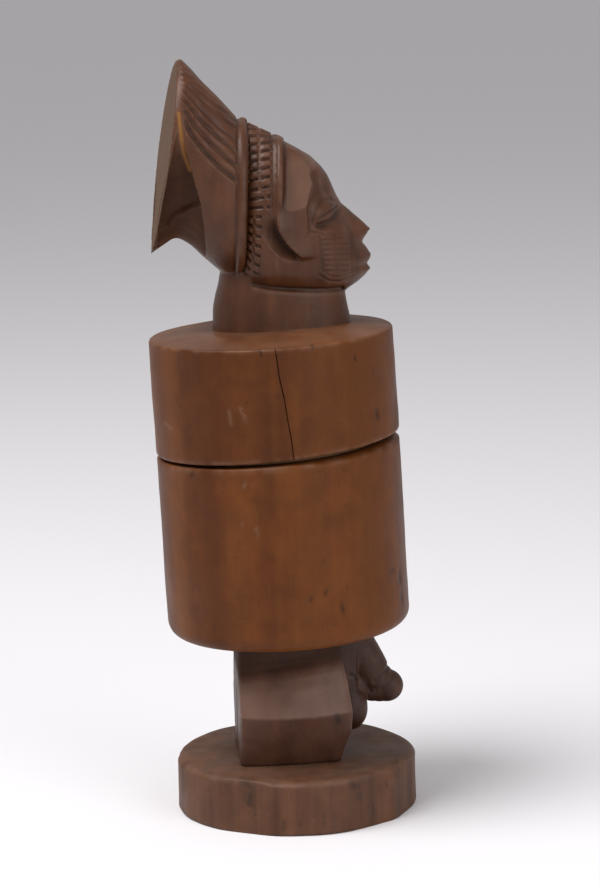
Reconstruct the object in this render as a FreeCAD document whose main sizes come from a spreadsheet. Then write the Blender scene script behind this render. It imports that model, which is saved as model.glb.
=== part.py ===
import FreeCAD, Part
import Sketcher
import math
import os

from FreeCAD import Placement, Rotation, Vector

# Carved wooden fertility figure that is also a lidded box.
#
# A round base carries a pair of thick carved legs. A round wooden box leans slightly back on
# the legs, and its lid is a drum of the same width that carries the neck, the head and a
# flaring headdress. A plug glued under the lid sits on a ledge inside the box's mouth.
#
# Frame: +Z up, the figure faces -Y, its left is +X, and the origin is the centre of the
# base's underside. The box, the lid and the head are drawn upright in the drum frame, whose
# origin is the centre of the box's underside, and are then placed on the legs with the lean.
# Lengths are millimetres and angles are degrees. "Front" sizes count forward from the axis.

SAME = 0.01         # two lengths this close are the same
LOOSE_BOX = 0.2     # a curved edge's bounding box may be this much too long
SLANTED = 0.5       # an edge that climbs more than this isn't level

SIZES = {
    # base
    "base_radius": 49.8, "base_height": 22.8, "base_edge": 2.0,
    # legs
    "leg_back": 24.0, "foot_front": 19.0, "ridge_front": 22.6, "hip_front": 20.4,
    "foot_half": 20.5, "ridge_half": 22.5, "hip_half": 20.5, "leg_corner": 3.2,
    "foot_bulge": 2.5, "ridge_bulge": 8.0, "hip_bulge": 3.5,
    "ridge_z": 43.5, "hip_over": 4.0, "leg_gap": 9.0, "crotch_z": 58.0, "gap_start": 1.0,
    # how the drums stand on the legs
    "lean": 2.3, "drum_back": 1.6, "drum_z": 76.0,
    # box: heights count up from its underside, depths down from its rim
    "drum_radius": 50.0, "box_height": 76.7, "box_floor": 12.0, "mouth_wall": 8.0,
    "ledge_width": 4.0, "mouth_deep": 8.7, "rim_slope": 2.0, "box_round": 6.0, "rim_wear": 1.2,
    # lid
    "seam": 1.7, "lid_slope": 2.4, "lid_height": 45.1, "lid_crown": 2.6, "crown_edge": 16.0,
    "lid_wear": 1.0, "plug_clear": 0.5, "plug_inset": 7.6, "plug_edge": 1.0, "seat_gap": 0.3,
    # dowels
    "dowel_radius": 4.0, "neck_dowel_radius": 5.0, "glue_gap": 0.1, "end_gap": 0.2,
    "dowel_side": 13.0,
    "foot_dowel_deep": 14.0, "hip_dowel_up": 8.0, "hip_dowel_down": 12.0,
    "neck_dowel_deep": 18.0, "neck_dowel_front": 4.0,
    # front carving: drops count down from the box, proud sizes forward from the hips
    "peg_radius": 6.0, "root_proud": 5.6, "root_drop": 6.0,
    "ball_radius": 6.9, "ball_proud": 18.1, "ball_drop": 26.8,
    "lobe_radius": 7.0, "lobe_half_height": 10.0, "lobe_side": 4.6,
    "lobe_proud": 2.8, "lobe_drop": 34.5, "pad_proud": 6.6, "pad_half": 8.0,
    "pad_bite": 2.0, "pad_top_drop": 4.0, "pad_drop": 38.0,
    "tenon_radius": 3.5, "tenon_long": 12.0, "tenon_drop": 10.0,
    # neck and head: heights count up from the neck's foot
    "neck_front": 32.8, "neck_back": 24.0, "neck_half": 18.5,
    "throat_front": 30.6, "throat_back": 20.5, "throat_half": 17.0, "throat_up": 18.0,
    "nose_half": 4.6, "mouth_half": 9.0, "band_rise": 1.2,
    "eye_front": 27.0, "eye_up": 44.0, "eye_side": 15.2, "eye_long": 5.8, "eye_tall": 2.2,
    "eye_deep": 3.0, "eye_tilt": 40.0,
    "ear_front": 8.5, "ear_up": 35.5, "ear_side": 24.5, "ear_long": 11.0, "ear_wide": 4.6,
    "ear_deep": 3.6, "ear_tilt": 24.0,
}

# Heights of the head's outlines count up from the neck's foot.
# Head from front to back: front, lowest point, height, half width.
HEAD_SECTIONS = (
    (36.0, 16.9, 28.0, 8.5),
    (31.0, 13.5, 36.4, 14.5),
    (25.0, 13.5, 48.4, 19.5),
    (17.0, 14.1, 56.4, 23.0),
    (6.0, 14.9, 62.0, 25.0),
    (-7.0, 17.9, 66.5, 25.0),
)
# Headdress from front to back: front and height of its lowest point, its height along a
# plane that tips forward, half width, forward tip of that plane.
FAN_SECTIONS = (
    (-6.0, 18.9, 64.5, 24.4, 0.0),
    (-19.0, 26.9, 69.0, 25.6, 3.0),
    (-33.0, 36.9, 68.5, 27.5, 7.0),
    (-43.5, 34.3, 75.5, 32.4, 11.5),
    (-46.6, 33.4, 76.5, 33.0, 11.8),
)
# Plain bands round the head: front, width, lowest point, height, half width.
BANDS = (
    (-5.0, 4.6, 17.5, 66.0, 25.2),
    (9.0, 3.4, 15.5, 59.4, 24.8),
)
# Side outlines, as front and height: the nose and the lips with the chin.
NOSE = ((28.0, 51.9), (33.0, 46.5), (43.0, 36.9), (39.5, 32.1), (28.0, 30.9))
MOUTH = (
    (27.0, 32.9), (39.4, 32.3), (42.6, 26.7), (40.9, 23.6),
    (41.9, 20.9), (36.8, 15.2), (31.0, 12.9), (27.0, 13.9),
)

doc = FreeCAD.newDocument("FertilityFigure")
sheet = doc.addObject("Spreadsheet::Sheet", "Dims")
for row, (alias, value) in enumerate(SIZES.items(), start=1):
    sheet.set(f"A{row}", alias)
    sheet.set(f"B{row}", str(value))
    sheet.setAlias(f"B{row}", alias)
doc.recompute()


def dim(alias):
    """The value that the sheet holds for a size."""
    return float(sheet.get(alias))


# Sizes that follow from others, written once for every piece that meets there.
MOUTH_RADIUS = "(Dims.drum_radius - Dims.mouth_wall)"
PLUG_RADIUS = "(Dims.drum_radius - Dims.mouth_wall - Dims.plug_clear)"
LEDGE_Z = "(Dims.box_height - Dims.mouth_deep)"
LID_UNDER_Z = "(Dims.box_height + Dims.seam)"
PLUG_TOP_Z = "(Dims.box_height + Dims.seam + Dims.plug_inset)"
LID_TOP_Z = "(Dims.box_height + Dims.seam + Dims.lid_height)"
NECK_FOOT_Z = "(Dims.box_height + Dims.seam + Dims.lid_height + Dims.lid_crown)"


def plug_radius():
    return dim("drum_radius") - dim("mouth_wall") - dim("plug_clear")


def plug_foot_z():
    return dim("box_height") - dim("mouth_deep") + dim("seat_gap")


def lid_top_z():
    return dim("box_height") + dim("seam") + dim("lid_height")


# Sketches and features

def new_sketch(body, name, plane, lift=None):
    """A sketch on one of the body's own origin planes, raised off it by an expression."""
    sketch = body.newObject("Sketcher::SketchObject", name)
    support = next(f for f in body.Origin.OriginFeatures if f.Role == plane)
    sketch.AttachmentSupport = (support, [""])
    sketch.MapMode = "FlatFace"
    if lift:
        sketch.setExpression(".AttachmentOffset.Base.z", lift)
    return sketch


def pin(sketch, geometry, point, across, along):
    """Holds one point of a sketch at a place given by two expressions."""
    for kind, expression in (("DistanceX", across), ("DistanceY", along)):
        index = sketch.addConstraint(Sketcher.Constraint(kind, -1, 1, geometry, point, 1.0))
        sketch.setExpression(f"Constraints[{index}]", expression)


def polygon(sketch, corners, start_radius=10.0):
    """A closed outline whose corners are pairs of expressions, drawn first on a small circle."""
    count = len(corners)
    turns = [2 * math.pi * i / count for i in range(count)]
    start = [Vector(start_radius * math.cos(t), start_radius * math.sin(t), 0) for t in turns]
    edges = [Part.LineSegment(start[i], start[(i + 1) % count]) for i in range(count)]
    first = len(sketch.Geometry)
    sketch.addGeometry(edges, False)
    for i in range(count):
        after = first + (i + 1) % count
        sketch.addConstraint(Sketcher.Constraint("Coincident", first + i, 2, after, 1))
    for i, (across, along) in enumerate(corners):
        pin(sketch, first + i, 1, across, along)


def circle(sketch, radius, across="0", along="0"):
    """A circle whose radius and centre are expressions."""
    index = sketch.addGeometry(Part.Circle(Vector(0, 0, 0), Vector(0, 0, 1), 1.0), False)
    size = sketch.addConstraint(Sketcher.Constraint("Radius", index, 1.0))
    sketch.setExpression(f"Constraints[{size}]", radius)
    pin(sketch, index, 3, across, along)


def revolve(body, name, corners):
    """Turns a half outline, drawn as radius and height, about the body's own axis."""
    outline = new_sketch(body, name + "Outline", "XZ_Plane")
    polygon(outline, corners)
    turned = body.newObject("PartDesign::Revolution", name)
    turned.Profile = outline
    turned.ReferenceAxis = (outline, ["V_Axis"])
    turned.Angle = 360
    return turned


def cut(body, name, sketch, length, midplane=False, upward=False):
    """Pockets a sketch and makes sure that wood really was taken away."""
    doc.recompute()
    before = body.Shape.Volume
    pocket = body.newObject("PartDesign::Pocket", name)
    pocket.Profile = sketch
    pocket.Midplane = midplane
    pocket.Reversed = upward
    pocket.setExpression("Length", length)
    doc.recompute()
    if body.Shape.Volume >= before:
        raise RuntimeError(f"{name} took nothing away")
    return pocket


def round_edges(body, name, wanted, radius, kind="PartDesign::Fillet"):
    """Fillets or chamfers the edges of the body's tip that a test picks out."""
    doc.recompute()
    tip = body.Tip
    edges = [f"Edge{i}" for i, edge in enumerate(tip.Shape.Edges, start=1) if wanted(edge)]
    if not edges:
        raise RuntimeError(f"{name} found no edge")
    feature = body.newObject(kind, name)
    feature.Base = (tip, edges)
    feature.setExpression("Radius" if kind.endswith("Fillet") else "Size", radius)
    return feature


def ring_at(height, radius):
    """A test for an edge that runs right round the axis at a height and a radius."""
    def wanted(edge):
        low, high = edge.BoundBox.ZMin, edge.BoundBox.ZMax
        reach = max(edge.BoundBox.XMax, -edge.BoundBox.XMin)
        return max(abs(low - height), abs(high - height), abs(reach - radius)) < SAME
    return wanted


def slanted_rim(radius):
    """A test for an edge on a sloping rim, at a radius."""
    def wanted(edge):
        box = edge.BoundBox
        return box.ZLength > SLANTED and abs(box.YLength - 2 * radius) < LOOSE_BOX
    return wanted


def cylinder(name, radius, height, base, axis_place=None):
    """A Part cylinder whose radius, height and foot are expressions."""
    rod = doc.addObject("Part::Cylinder", name)
    rod.setExpression("Radius", radius)
    rod.setExpression("Height", height)
    for axis, expression in zip("xyz", base):
        rod.setExpression(f"Placement.Base.{axis}", expression)
    if axis_place:
        rod.Placement.Rotation = axis_place
    return rod


def group(name, pieces):
    """Identical pieces that share one node."""
    bundle = doc.addObject("Part::Compound", name)
    bundle.Links = pieces
    return bundle


def lean(piece, up="0"):
    """Stands a piece on the legs with the lean, its own zero a distance up the drum axis."""
    piece.Placement.Rotation = Rotation(Vector(1, 0, 0), -dim("lean"))
    piece.setExpression("Placement.Base.y", f"Dims.drum_back + {up} * sin(Dims.lean * 1deg)")
    piece.setExpression("Placement.Base.z", f"Dims.drum_z + {up} * cos(Dims.lean * 1deg)")
    return piece


# Base and legs

def make_base():
    """Round foot with a worn top edge and two sockets for the foot dowels."""
    body = doc.addObject("PartDesign::Body", "base_plinth")
    outline = new_sketch(body, "BaseOutline", "XY_Plane")
    circle(outline, "Dims.base_radius")
    disc = body.newObject("PartDesign::Pad", "BaseDisc")
    disc.Profile = outline
    disc.setExpression("Length", "Dims.base_height")
    round_edges(body, "BaseWear", ring_at(dim("base_height"), dim("base_radius")),
                "Dims.base_edge")
    sockets = new_sketch(body, "FootSockets", "XY_Plane", "Dims.base_height")
    for side in ("", "-"):
        circle(sockets, "Dims.dowel_radius + Dims.glue_gap", f"{side}Dims.dowel_side")
    cut(body, "FootSocketHoles", sockets, "Dims.foot_dowel_deep")
    return body


def leg_section(body, level, height):
    """One level of the legs: a block with cut-off corners and sides that bulge."""
    section = new_sketch(body, level.capitalize() + "Level", "XY_Plane", height)
    front, back, nick = f"-Dims.{level}_front", "Dims.leg_back", "Dims.leg_corner"
    side, belly = f"Dims.{level}_half", f"Dims.{level}_half + Dims.{level}_bulge"
    middle = f"({front} + {back}) / 2"
    polygon(section, [
        (f"{side} - {nick}", front), (side, f"{front} + {nick}"), (belly, middle),
        (side, f"{back} - {nick}"), (f"{side} - {nick}", back),
        (f"-{side} + {nick}", back), (f"-{side}", f"{back} - {nick}"),
        (f"-({belly})", middle), (f"-{side}", f"{front} + {nick}"), (f"-{side} + {nick}", front),
    ])
    return section


def make_legs():
    """A pair of thick legs, widest at the knee ridge, that end under the leaning box."""
    body = doc.addObject("PartDesign::Body", "LegForm")
    levels = [
        leg_section(body, "foot", "Dims.base_height"),
        leg_section(body, "ridge", "Dims.ridge_z"),
        leg_section(body, "hip", "Dims.drum_z + Dims.hip_over"),
    ]
    block = body.newObject("PartDesign::AdditiveLoft", "LegLoft")
    block.Profile = levels[0]
    block.Sections = levels[1:]
    block.Ruled = True
    gap = new_sketch(body, "LegGap", "XZ_Plane")
    polygon(gap, [
        ("-Dims.leg_gap / 2", "Dims.base_height - Dims.gap_start"),
        ("Dims.leg_gap / 2", "Dims.base_height - Dims.gap_start"),
        ("Dims.leg_gap / 2", "Dims.crotch_z - Dims.leg_gap / 2"), ("0", "Dims.crotch_z"),
        ("-Dims.leg_gap / 2", "Dims.crotch_z - Dims.leg_gap / 2"),
    ])
    cut(body, "LegGapCut", gap, "4 * Dims.leg_back", midplane=True)
    sockets = new_sketch(body, "FootDowelSockets", "XY_Plane", "Dims.base_height")
    for side in ("", "-"):
        circle(sockets, "Dims.dowel_radius + Dims.glue_gap", f"{side}Dims.dowel_side")
    cut(body, "FootDowelHoles", sockets, "Dims.foot_dowel_deep", upward=True)
    seat = lean(doc.addObject("Part::Cylinder", "DrumSeat"))
    seat.setExpression("Radius", "Dims.drum_radius")
    seat.setExpression("Height", "Dims.drum_radius")
    holes = [hip_dowel(f"HipHole{i}", side, "Dims.glue_gap") for i, side in enumerate(("", "-"))]
    tools = doc.addObject("Part::MultiFuse", "LegTools")
    tools.Shapes = [seat, peg_tenon("TenonHole", "Dims.glue_gap")] + holes
    legs = doc.addObject("Part::Cut", "leg_block")
    legs.Base = body
    legs.Tool = tools
    return legs


def hip_dowel(name, side, gap="0"):
    """A dowel, or with a gap its hole, that stands in a leg and runs into the box's floor."""
    rod = doc.addObject("Part::Cylinder", name)
    rod.setExpression("Radius", f"Dims.dowel_radius + {gap}")
    rod.setExpression("Height", f"Dims.hip_dowel_up + Dims.hip_dowel_down + 2 * {gap}")
    rod.setExpression("Placement.Base.x", f"{side}Dims.dowel_side")
    return lean(rod, f"(-Dims.hip_dowel_down - {gap})")


def make_dowels():
    """The pins that the base, the legs, the box, the lid and the head are glued up with."""
    foot = [
        cylinder(f"FootDowel{i}", "Dims.dowel_radius", "2 * (Dims.foot_dowel_deep - Dims.end_gap)",
                 (f"{side}Dims.dowel_side", "0",
                  "Dims.base_height - Dims.foot_dowel_deep + Dims.end_gap"))
        for i, side in enumerate(("", "-"))
    ]
    hip = [hip_dowel(f"HipDowel{i}", side) for i, side in enumerate(("", "-"))]
    neck = cylinder("NeckPin", "Dims.neck_dowel_radius",
                    "2 * (Dims.neck_dowel_deep - Dims.end_gap)",
                    ("0", "-Dims.neck_dowel_front",
                     f"{NECK_FOOT_Z} - Dims.neck_dowel_deep + Dims.end_gap"))
    return [group("foot_dowels", foot), group("hip_dowels", hip),
            lean(group("neck_dowel", [neck]))]


# Box and lid

def saw_rise(slope):
    """How far a sloping saw cut climbs from the drum's axis to twice its radius."""
    return f"2 * Dims.drum_radius * tan({slope} * 1deg)"


def slope_cut(body, name, height, slope, above):
    """Saws a drum across with a cut that rises towards the front."""
    rise = saw_rise(slope)
    far = f"{height} + Dims.drum_radius" if above else f"{height} - Dims.drum_radius"
    saw = new_sketch(body, name + "Line", "YZ_Plane")
    polygon(saw, [
        ("-2 * Dims.drum_radius", f"{height} + {rise}"), ("2 * Dims.drum_radius", f"{height} - {rise}"),
        ("2 * Dims.drum_radius", far), ("-2 * Dims.drum_radius", far),
    ])
    return cut(body, name, saw, "4 * Dims.drum_radius", midplane=True)


def make_box():
    """The container: a turned-out drum with a ledge inside its mouth and a rounded foot."""
    body = doc.addObject("PartDesign::Body", "container_drum")
    top = f"Dims.box_height + {saw_rise('Dims.rim_slope')}"
    cavity = f"{MOUTH_RADIUS} - Dims.ledge_width"
    revolve(body, "BoxWall", [
        ("0", "0"), ("Dims.drum_radius", "0"), ("Dims.drum_radius", top),
        (MOUTH_RADIUS, top), (MOUTH_RADIUS, LEDGE_Z),
        (cavity, LEDGE_Z), (cavity, "Dims.box_floor"), ("0", "Dims.box_floor"),
    ])
    slope_cut(body, "RimSaw", "Dims.box_height", "Dims.rim_slope", above=True)
    round_edges(body, "BoxFoot", ring_at(0, dim("drum_radius")), "Dims.box_round")
    round_edges(body, "RimWear", slanted_rim(dim("drum_radius")), "Dims.rim_wear")
    sockets = new_sketch(body, "HipSockets", "XY_Plane")
    for side in ("", "-"):
        circle(sockets, "Dims.dowel_radius + Dims.glue_gap", f"{side}Dims.dowel_side")
    cut(body, "HipSocketHoles", sockets, "Dims.hip_dowel_up + Dims.end_gap", upward=True)
    return lean(body)


def make_lid():
    """The lid: a solid drum with a low crown, a recess for its plug and a neck socket."""
    body = doc.addObject("PartDesign::Body", "lid_drum")
    low = f"{LID_UNDER_Z} - {saw_rise('Dims.lid_slope')}"
    recess = f"{PLUG_RADIUS} + Dims.glue_gap"
    revolve(body, "LidBlock", [
        ("0", PLUG_TOP_Z), (recess, PLUG_TOP_Z), (recess, low),
        ("Dims.drum_radius", low), ("Dims.drum_radius", LID_TOP_Z),
        ("Dims.drum_radius - Dims.crown_edge", NECK_FOOT_Z), ("0", NECK_FOOT_Z),
    ])
    slope_cut(body, "LidSaw", LID_UNDER_Z, "Dims.lid_slope", above=False)
    round_edges(body, "LidTopWear", ring_at(lid_top_z(), dim("drum_radius")),
                "Dims.lid_wear")
    round_edges(body, "LidLowWear", slanted_rim(dim("drum_radius")), "Dims.lid_wear")
    socket = new_sketch(body, "NeckSocket", "XY_Plane", NECK_FOOT_Z)
    circle(socket, "Dims.neck_dowel_radius + Dims.glue_gap", "0", "-Dims.neck_dowel_front")
    cut(body, "NeckSocketHole", socket, "Dims.neck_dowel_deep")
    return lean(body)


def make_plug():
    """The disc under the lid that drops into the box's mouth and rests on its ledge."""
    body = doc.addObject("PartDesign::Body", "lid_plug")
    foot = f"{LEDGE_Z} + Dims.seat_gap"
    outline = new_sketch(body, "PlugOutline", "XY_Plane", foot)
    circle(outline, PLUG_RADIUS)
    disc = body.newObject("PartDesign::Pad", "PlugDisc")
    disc.Profile = outline
    disc.setExpression("Length", f"{PLUG_TOP_Z} - ({foot})")
    round_edges(body, "PlugLead", ring_at(plug_foot_z(), plug_radius()),
                "Dims.plug_edge", "PartDesign::Chamfer")
    return lean(body)


# Front carving

def ellipsoid(name, radii, place):
    """An egg-shaped solid with its three half sizes along X, Y and Z."""
    egg = doc.addObject("Part::Ellipsoid", name)
    egg.setExpression("Radius2", radii[0])
    egg.setExpression("Radius3", radii[1])
    egg.setExpression("Radius1", radii[2])
    for axis, expression in zip("xyz", place):
        egg.setExpression(f"Placement.Base.{axis}", expression)
    return egg


def make_peg(legs):
    """The drooping front peg with its ball tip, two lobes, a backing pad and a tenon."""
    run, drop = dim("ball_proud") - dim("root_proud"), dim("ball_drop") - dim("root_drop")
    down = Rotation(Vector(0, 0, 1), Vector(0, -run, -drop))
    shaft = cylinder("PegShaft", "Dims.peg_radius", "hypot(Dims.ball_proud"
                     " - Dims.root_proud; Dims.ball_drop - Dims.root_drop)",
                     ("0", "-Dims.hip_front - Dims.root_proud", "Dims.drum_z - Dims.root_drop"),
                     down)
    ball = doc.addObject("Part::Sphere", "PegBall")
    ball.setExpression("Radius", "Dims.ball_radius")
    ball.setExpression("Placement.Base.y", "-Dims.hip_front - Dims.ball_proud")
    ball.setExpression("Placement.Base.z", "Dims.drum_z - Dims.ball_drop")
    lobes = [
        ellipsoid(f"Lobe{i}", ("Dims.lobe_radius", "Dims.lobe_radius", "Dims.lobe_half_height"),
                  (f"{side}Dims.lobe_side", "-Dims.hip_front - Dims.lobe_proud",
                   "Dims.drum_z - Dims.lobe_drop"))
        for i, side in enumerate(("", "-"))
    ]
    pad = doc.addObject("Part::Box", "PegPad")
    pad.setExpression("Length", "2 * Dims.pad_half")
    pad.setExpression("Width", "Dims.pad_proud + Dims.pad_bite")
    pad.setExpression("Height", "Dims.pad_drop - Dims.pad_top_drop")
    pad.setExpression("Placement.Base.x", "-Dims.pad_half")
    pad.setExpression("Placement.Base.y", "-Dims.hip_front - Dims.pad_proud")
    pad.setExpression("Placement.Base.z", "Dims.drum_z - Dims.pad_drop")
    rough = doc.addObject("Part::MultiFuse", "PegRough")
    rough.Shapes = [shaft, ball, pad] + lobes
    outer = doc.addObject("Part::Cut", "PegOuter")
    outer.Base = rough
    outer.Tool = legs
    peg = doc.addObject("Part::Fuse", "front_peg")
    peg.Base = outer
    peg.Tool = peg_tenon("PegTenon")
    return peg


def peg_tenon(name, gap="0"):
    """The round tenon behind the peg's pad, or with a gap its hole in the legs."""
    return cylinder(name, f"Dims.tenon_radius + {gap}", f"Dims.tenon_long + {gap}",
                    ("0", "-Dims.hip_front - Dims.pad_proud + Dims.pad_bite",
                     "Dims.drum_z - Dims.tenon_drop"),
                    Rotation(Vector(1, 0, 0), -90))


# Head

def oval(front, low, tall, half, tip=0.0, squareness=2.4, count=28):
    """A rounded outline across the head, in a plane that tips forward as it rises."""
    points = []
    for i in range(count):
        turn = 2 * math.pi * i / count
        side = math.copysign(abs(math.cos(turn)) ** (2 / squareness), math.cos(turn))
        up = math.copysign(abs(math.sin(turn)) ** (2 / squareness), math.sin(turn))
        climb = tall * (1 + up) / 2
        lean_in = climb * math.sin(math.radians(tip))
        points.append(Vector(half * side, -front - lean_in,
                             low + climb * math.cos(math.radians(tip))))
    curve = Part.BSplineCurve()
    curve.interpolate(Points=points, PeriodicFlag=True)
    return Part.Wire(curve.toShape())


def band(front, width, low, tall, half):
    """A plain ring carved round the head, a little proud of it."""
    rise = dim("band_rise")
    rings = [oval(front + step * width / 2, low - rise * (1 - step ** 2),
                  tall + 2 * rise * (1 - step ** 2), half + rise * (1 - step ** 2))
             for step in (-1, 0, 1)]
    return Part.makeLoft(rings, True)


def slab(outline, half):
    """A side outline given as front and height, with an equal width on both sides."""
    corners = [Vector(-half, -front, height) for front, height in outline]
    face = Part.Face(Part.makePolygon(corners + corners[:1]))
    return face.extrude(Vector(2 * half, 0, 0))


def egg(place, half_sizes, tilt):
    """An egg with half sizes along X, Y and Z, tipped about X, as one smooth surface."""
    ball = Part.makeSphere(1.0)
    stretch = FreeCAD.Matrix()
    stretch.scale(*half_sizes)
    stretched = ball.transformGeometry(stretch)
    stretched.Placement = Placement(place, Rotation(Vector(1, 0, 0), tilt))
    return stretched


def neck_form():
    """The neck, oval in plan, from its foot up into the head."""
    rings = []
    for height, front, back, half in (
        (0.0, dim("neck_front"), dim("neck_back"), dim("neck_half")),
        (dim("throat_up"), dim("throat_front"), dim("throat_back"), dim("throat_half")),
    ):
        ring = Part.Ellipse(Vector(0, (back - front) / 2, height), (front + back) / 2, half)
        ring.rotate(Placement(Vector(0, 0, 0), Rotation(Vector(0, 0, 1), 90)))
        ring.Center = Vector(0, (back - front) / 2, height)
        rings.append(Part.Wire(ring.toShape()))
    return Part.makeLoft(rings, True, True)


def make_head():
    """Neck, face, ears, bands and the flaring headdress, carved from one block.

    The block is drawn with the neck's foot at zero and then stood on the lid.
    """
    pieces = [
        Part.makeLoft([oval(*section) for section in HEAD_SECTIONS], True),
        Part.makeLoft([oval(*section) for section in FAN_SECTIONS], True),
        slab(NOSE, dim("nose_half")),
        slab(MOUTH, dim("mouth_half")),
    ]
    pieces += [band(*sizes) for sizes in BANDS]
    for side in (-1, 1):
        eye = Vector(side * dim("eye_side"), -dim("eye_front"), dim("eye_up"))
        pieces.append(egg(eye, (dim("eye_deep"), dim("eye_long"), dim("eye_tall")),
                          -dim("eye_tilt")))
        ear = Vector(side * dim("ear_side"), -dim("ear_front"), dim("ear_up"))
        pieces.append(egg(ear, (dim("ear_deep"), dim("ear_wide"), dim("ear_long")),
                          dim("ear_tilt")))
    solid = neck_form()
    for piece in pieces:
        solid = solid.fuse(piece)
    pin_radius = dim("neck_dowel_radius") + dim("glue_gap")
    foot = Vector(0, -dim("neck_dowel_front"), 0)
    solid = solid.cut(Part.makeCylinder(pin_radius, dim("neck_dowel_deep"), foot))
    if len(solid.Solids) != 1:
        raise RuntimeError("the head isn't one piece of wood")
    head = doc.addObject("Part::Feature", "head_carving")
    head.Shape = solid.Solids[0]
    return lean(head, NECK_FOOT_Z)


# Build and write

legs = make_legs()
nodes = [make_base(), legs, make_box(), make_lid(), make_plug(), make_peg(legs), make_head()]
nodes += make_dowels()
doc.recompute()

for thing in doc.Objects:
    if "Invalid" in thing.State or "Error" in thing.State:
        raise RuntimeError(f"{thing.Name} did not build: {thing.State}")
for node in nodes:
    if node.Shape.isNull() or not node.Shape.isValid():
        raise RuntimeError(f"{node.Label} has no valid shape")
    expected = 2 if node.Label.endswith("dowels") else 1
    if len(node.Shape.Solids) != expected:
        raise RuntimeError(f"{node.Label} has {len(node.Shape.Solids)} solids")

os.makedirs("parts", exist_ok=True)
for node in nodes:
    node.Shape.exportStep(f"parts/{node.Label}.step")
    box = node.Shape.BoundBox
    print(f"{node.Label}: {len(node.Shape.Solids)} solids, {node.Shape.Volume / 1000:.1f} cm3, "
          f"z {box.ZMin:.1f} to {box.ZMax:.1f}, y {box.YMin:.1f} to {box.YMax:.1f}, "
          f"x {box.XMin:.1f} to {box.XMax:.1f}")
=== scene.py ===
import math

import bmesh
import bpy
import numpy as np
from mathutils import Matrix, Vector, noise
from mathutils.bvhtree import BVHTree


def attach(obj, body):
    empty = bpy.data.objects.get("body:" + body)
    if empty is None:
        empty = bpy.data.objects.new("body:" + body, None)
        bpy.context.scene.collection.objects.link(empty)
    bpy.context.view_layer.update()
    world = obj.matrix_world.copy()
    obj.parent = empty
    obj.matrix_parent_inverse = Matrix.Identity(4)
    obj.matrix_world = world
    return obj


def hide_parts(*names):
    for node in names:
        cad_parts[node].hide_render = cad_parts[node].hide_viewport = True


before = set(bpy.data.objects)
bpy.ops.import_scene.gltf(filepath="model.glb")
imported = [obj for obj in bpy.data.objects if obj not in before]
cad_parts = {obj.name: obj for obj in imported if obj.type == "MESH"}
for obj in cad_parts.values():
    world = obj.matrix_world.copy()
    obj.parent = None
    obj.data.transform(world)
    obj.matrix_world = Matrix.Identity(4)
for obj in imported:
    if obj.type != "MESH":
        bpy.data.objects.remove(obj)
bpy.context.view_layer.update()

print("frame loaded")

# Pieces are drawn upright in millimetres: x to the figure's left, y to its back, z up from
# the floor. The drums and the head are then tipped back about the box's foot.
stance = {"lean": 2.3, "drumBack": 1.6, "drumFoot": 76.0}
upright = Matrix.Scale(0.001, 4)
leaning = (
    upright
    @ Matrix.Translation((0, stance["drumBack"], stance["drumFoot"]))
    @ Matrix.Rotation(math.radians(-stance["lean"]), 4, "X")
    @ Matrix.Translation((0, 0, -stance["drumFoot"]))
)


# small tools for shaping

# smooth step from 0 at low to 1 at high, for numbers or arrays
def ramp(value, low, high):
    t = np.clip((value - low) / (high - low), 0, 1)
    return t * t * (3 - 2 * t)


def readPoints(mesh):
    flat = np.zeros(len(mesh.vertices) * 3)
    mesh.vertices.foreach_get("co", flat)
    return flat.reshape(-1, 3)


def readNormals(mesh):
    flat = np.zeros(len(mesh.vertices) * 3)
    mesh.vertices.foreach_get("normal", flat)
    return flat.reshape(-1, 3)


def writePoints(mesh, points):
    mesh.vertices.foreach_set("co", points.ravel())
    mesh.update()


def paint(mesh, name, values):
    layer = mesh.attributes.get(name) or mesh.attributes.new(name, "FLOAT", "POINT")
    layer.data.foreach_set("value", np.asarray(values, dtype=np.float32))


# soft noise, one value per point, with bumps about that many millimetres across
def wobble(points, size, seed, octaves=2):
    shift = Vector((seed * 7.1, seed * 3.3, seed * 5.7))
    return np.array([
        noise.fractal(Vector(p) / size + shift, 0.6, 2.0, octaves) for p in points
    ])


# height of shallow scoops left by a gouge, one value per point
def chiselled(points, size, seed):
    shift = Vector((seed * 11.3, seed * 2.9, seed * 6.1))
    stretch = Vector((1 / size[0], 1 / size[1], 1 / size[2]))
    depth = []
    for p in points:
        near = noise.voronoi(Vector(p) * stretch + shift)[0]
        depth.append(near[0] * near[0])
    return np.array(depth)


def meshFrom(bm, name):
    bmesh.ops.remove_doubles(bm, verts=bm.verts, dist=1e-4)
    bmesh.ops.recalc_face_normals(bm, faces=bm.faces)
    mesh = bpy.data.meshes.new(name)
    bm.to_mesh(mesh)
    bm.free()
    return mesh


# the mesh after one modifier
def applied(mesh, kind, **settings):
    holder = bpy.data.objects.new("work", mesh)
    bpy.context.scene.collection.objects.link(holder)
    modifier = holder.modifiers.new(kind, kind)
    for key, value in settings.items():
        setattr(modifier, key, value)
    bpy.context.view_layer.update()
    result = bpy.data.meshes.new_from_object(holder.evaluated_get(
        bpy.context.evaluated_depsgraph_get()))
    bpy.data.objects.remove(holder)
    return result


def remeshed(mesh, size):
    return applied(mesh, "REMESH", mode="VOXEL", voxel_size=size)


# cuts one mesh out of another
def cutAway(mesh, tool):
    cutter = bpy.data.objects.new("cutter", tool)
    bpy.context.scene.collection.objects.link(cutter)
    mesh = applied(mesh, "BOOLEAN", operation="DIFFERENCE", object=cutter, solver="EXACT")
    bpy.data.objects.remove(cutter)
    return mesh


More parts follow.
